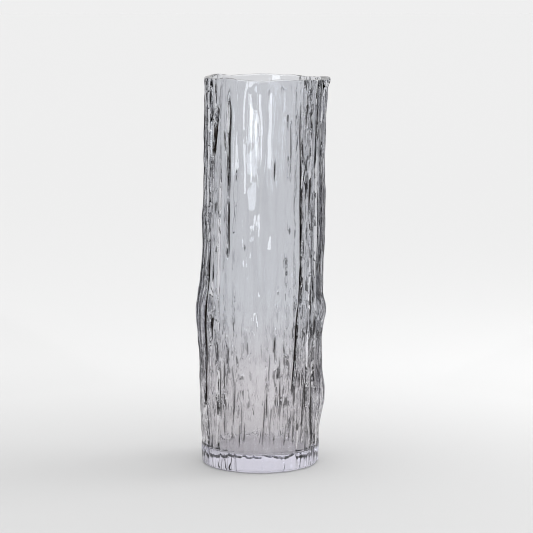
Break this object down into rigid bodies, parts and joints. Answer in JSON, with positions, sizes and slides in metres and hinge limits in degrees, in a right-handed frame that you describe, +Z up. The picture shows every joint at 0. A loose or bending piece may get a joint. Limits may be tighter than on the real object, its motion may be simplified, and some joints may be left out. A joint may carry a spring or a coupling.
{
  "type": "cylinder vase",
  "caption": "Tall cylinder vase of smoke-grey glass with a tree-bark relief outside, a smooth round bore, a thick flat foot and a polished lip.",
  "frame": {"origin": "centre of the flat face that the vase stands on", "axes": "+Z up out of the mouth, +X to the right as the vase is seen from the front, and -Y to the front"},
  "size_m": [0.1039, 0.0959, 0.3013],
  "materials": {
    "smoke_glass": "clear smoke-grey soda-lime glass, glossy, fire-polished, with bark relief outside"
  },
  "bodies": {
    "root": {"foot": "smoke_glass", "wall": "smoke_glass", "lip": "smoke_glass"}
  },
  "joints": []
}
